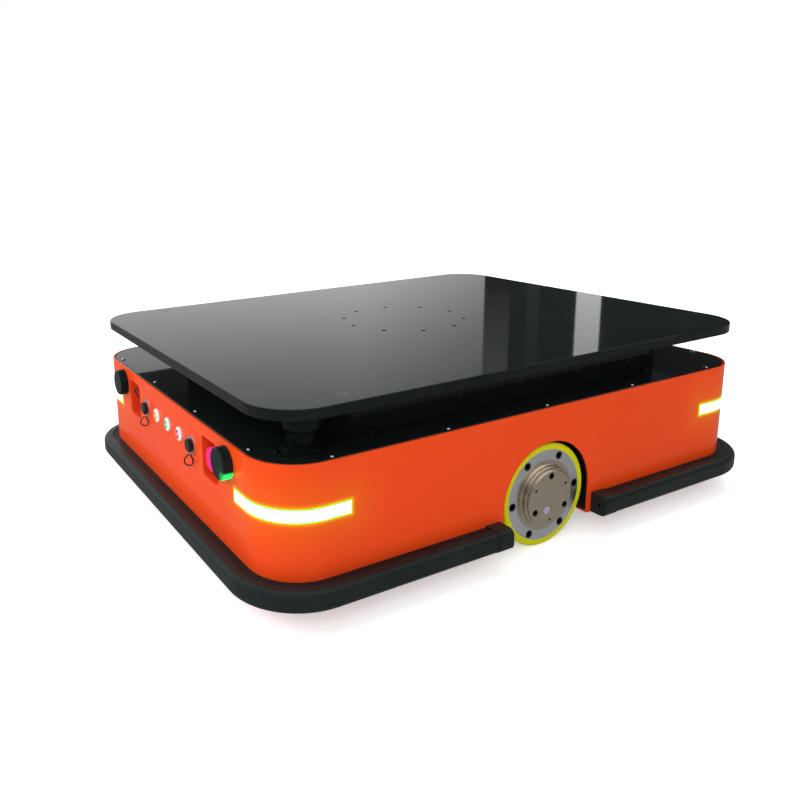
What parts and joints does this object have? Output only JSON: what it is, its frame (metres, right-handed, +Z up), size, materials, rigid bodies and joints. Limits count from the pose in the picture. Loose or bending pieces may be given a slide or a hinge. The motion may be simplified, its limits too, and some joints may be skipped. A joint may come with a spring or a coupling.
{
  "type": "autonomous mobile robot",
  "caption": "Low mobile robot with a lifting load plate over two corner laser scanners, side drive wheels, swivel casters, a wrap-round rubber bumper and a front control panel.",
  "frame": {"origin": "floor level, below the middle of the robot", "axes": "+Y along the robot's length towards the back, the control panel faces -Y, +X along the drive wheels' axle, +Z up"},
  "size_m": [0.867, 1.085, 0.324],
  "materials": {
    "shell_paint": "gloss orange powder coat",
    "cover_paint": "gloss black paint",
    "plate_coat": "gloss black coat",
    "dark_steel": "satin dark grey paint",
    "raw_aluminium": "machined",
    "bronze_aluminium": "bronze anodised",
    "black_aluminium": "black anodised",
    "screw_steel": "zinc plated",
    "liner_black": "satin black paint",
    "scanner_shell": "gloss black",
    "scanner_lens": "smoked, dark",
    "column_chrome": "hard chrome",
    "bush_bronze": "turned bronze",
    "tyre_yellow": "olive yellow polyurethane",
    "caster_grey": "dark grey polyurethane",
    "bumper_rubber": "black skin",
    "bumper_plastic": "black",
    "light_cover": "translucent white, lit",
    "recess_paint": "dark orange paint",
    "stop_black": "black",
    "stop_red": "signal red",
    "bezel_white": "white",
    "lens_orange": "lit orange",
    "lens_green": "lit green",
    "lens_red": "lit pale red",
    "socket_metal": "nickel plated",
    "cap_plastic": "black",
    "antenna_plastic": "greenish black",
    "cord_black": "black cord"
  },
  "bodies": {
    "chassis": {"body_shell": "shell_paint", "top_cover": "cover_paint", "cover_screws": "screw_steel", "base_plate": "raw_aluminium", "chassis_frame": "dark_steel", "wheel_bay_liners": "liner_black", "drive_brackets": "dark_steel", "battery_pack": "black_aluminium", "control_unit": "black_aluminium", "floor_camera": "stop_black", "jack_housings": "raw_aluminium", "guide_bushes": "bush_bronze", "scanner_housings": "scanner_shell", "scanner_windows": "scanner_lens", "lift_motors": "black_aluminium", "skirt_guides": "cap_plastic", "right_drive_unit": "dark_steel", "left_drive_unit": "dark_steel", "caster_plates": "screw_steel", "bumper_rails": "black_aluminium", "bumper_noses": "bumper_rubber", "bumper_end_caps": "bumper_plastic", "corner_lights": "light_cover", "estop_recess": "recess_paint", "service_recess": "recess_paint", "estop_collar": "stop_black", "button_bezels": "bezel_white", "cable_sockets": "socket_metal", "puck_antennas": "antenna_plastic", "left_lanyard": "cord_black", "right_lanyard": "cord_black", "service_lanyard": "cord_black"},
    "platform": {"load_plate": "plate_coat", "platform_screws": "screw_steel", "lift_skirt": "cover_paint", "lift_columns": "column_chrome"},
    "right_wheel": {"right_tyre": "tyre_yellow", "right_hub_ring": "raw_aluminium", "right_gear_flange": "bronze_aluminium", "right_wheel_screws": "screw_steel"},
    "left_wheel": {"left_tyre": "tyre_yellow", "left_hub_ring": "raw_aluminium", "left_gear_flange": "bronze_aluminium", "left_wheel_screws": "screw_steel"},
    "front_right_caster": {"front_right_caster_fork": "screw_steel"},
    "front_right_roller": {"front_right_caster_wheel": "caster_grey"},
    "front_left_caster": {"front_left_caster_fork": "screw_steel"},
    "front_left_roller": {"front_left_caster_wheel": "caster_grey"},
    "rear_right_caster": {"rear_right_caster_fork": "screw_steel"},
    "rear_right_roller": {"rear_right_caster_wheel": "caster_grey"},
    "rear_left_caster": {"rear_left_caster_fork": "screw_steel"},
    "rear_left_roller": {"rear_left_caster_wheel": "caster_grey"},
    "left_button": {"left_button": "lens_orange"},
    "middle_button": {"middle_button": "lens_green"},
    "right_button": {"right_button": "lens_red"},
    "stop_plunger": {"estop_plunger": "screw_steel"},
    "stop_head": {"estop_head": "stop_red"},
    "left_cap": {"left_dust_cap": "cap_plastic"},
    "right_cap": {"right_dust_cap": "cap_plastic"},
    "service_cap": {"service_dust_cap": "cap_plastic"}
  },
  "joints": [
    {"name": "lift", "type": "slide", "parent": "chassis", "child": "platform", "axis": [0, 0, 1], "range_m": [0, 0.06]},
    {"name": "right_wheel_spin", "type": "hinge", "parent": "chassis", "child": "right_wheel", "pos_m": [0.36, 0, 0.09], "axis": [1, 0, 0], "continuous": true},
    {"name": "left_wheel_spin", "type": "hinge", "parent": "chassis", "child": "left_wheel", "pos_m": [-0.36, 0, 0.09], "axis": [1, 0, 0], "continuous": true},
    {"name": "front_right_swivel", "type": "hinge", "parent": "chassis", "child": "front_right_caster", "pos_m": [0.29, -0.395, 0.09], "axis": [0, 0, 1], "continuous": true},
    {"name": "front_right_roll", "type": "hinge", "parent": "front_right_caster", "child": "front_right_roller", "pos_m": [0.29, -0.365, 0.0375], "axis": [1, 0, 0], "continuous": true},
    {"name": "front_left_swivel", "type": "hinge", "parent": "chassis", "child": "front_left_caster", "pos_m": [-0.29, -0.395, 0.09], "axis": [0, 0, 1], "continuous": true},
    {"name": "front_left_roll", "type": "hinge", "parent": "front_left_caster", "child": "front_left_roller", "pos_m": [-0.29, -0.365, 0.0375], "axis": [1, 0, 0], "continuous": true},
    {"name": "rear_right_swivel", "type": "hinge", "parent": "chassis", "child": "rear_right_caster", "pos_m": [0.29, 0.395, 0.09], "axis": [0, 0, 1], "continuous": true},
    {"name": "rear_right_roll", "type": "hinge", "parent": "rear_right_caster", "child": "rear_right_roller", "pos_m": [0.29, 0.425, 0.0375], "axis": [1, 0, 0], "continuous": true},
    {"name": "rear_left_swivel", "type": "hinge", "parent": "chassis", "child": "rear_left_caster", "pos_m": [-0.29, 0.395, 0.09], "axis": [0, 0, 1], "continuous": true},
    {"name": "rear_left_roll", "type": "hinge", "parent": "rear_left_caster", "child": "rear_left_roller", "pos_m": [-0.29, 0.425, 0.0375], "axis": [1, 0, 0], "continuous": true},
    {"name": "left_button_press", "type": "slide", "parent": "chassis", "child": "left_button", "axis": [0, 1, 0], "range_m": [0, 0.003], "stiffness_N_per_m": 700},
    {"name": "middle_button_press", "type": "slide", "parent": "chassis", "child": "middle_button", "axis": [0, 1, 0], "range_m": [0, 0.003], "stiffness_N_per_m": 700},
    {"name": "right_button_press", "type": "slide", "parent": "chassis", "child": "right_button", "axis": [0, 1, 0], "range_m": [0, 0.003], "stiffness_N_per_m": 700},
    {"name": "stop_press", "type": "slide", "parent": "chassis", "child": "stop_plunger", "axis": [0, 1, 0], "range_m": [0, 0.005], "stiffness_N_per_m": 900},
    {"name": "stop_twist", "type": "hinge", "parent": "stop_plunger", "child": "stop_head", "pos_m": [0.187, -0.48, 0.1925], "axis": [0, 1, 0], "range_deg": [0, 45], "stiffness_Nm_per_rad": 0.08},
    {"name": "left_cap_turn", "type": "hinge", "parent": "chassis", "child": "left_cap", "pos_m": [-0.114, -0.51, 0.195], "axis": [0, 1, 0], "range_deg": [0, 90]},
    {"name": "right_cap_turn", "type": "hinge", "parent": "chassis", "child": "right_cap", "pos_m": [0.114, -0.51, 0.195], "axis": [0, 1, 0], "range_deg": [0, 90]},
    {"name": "service_cap_turn", "type": "hinge", "parent": "chassis", "child": "service_cap", "pos_m": [-0.178, -0.47, 0.1925], "axis": [0, 1, 0], "range_deg": [0, 90]}
  ]
}
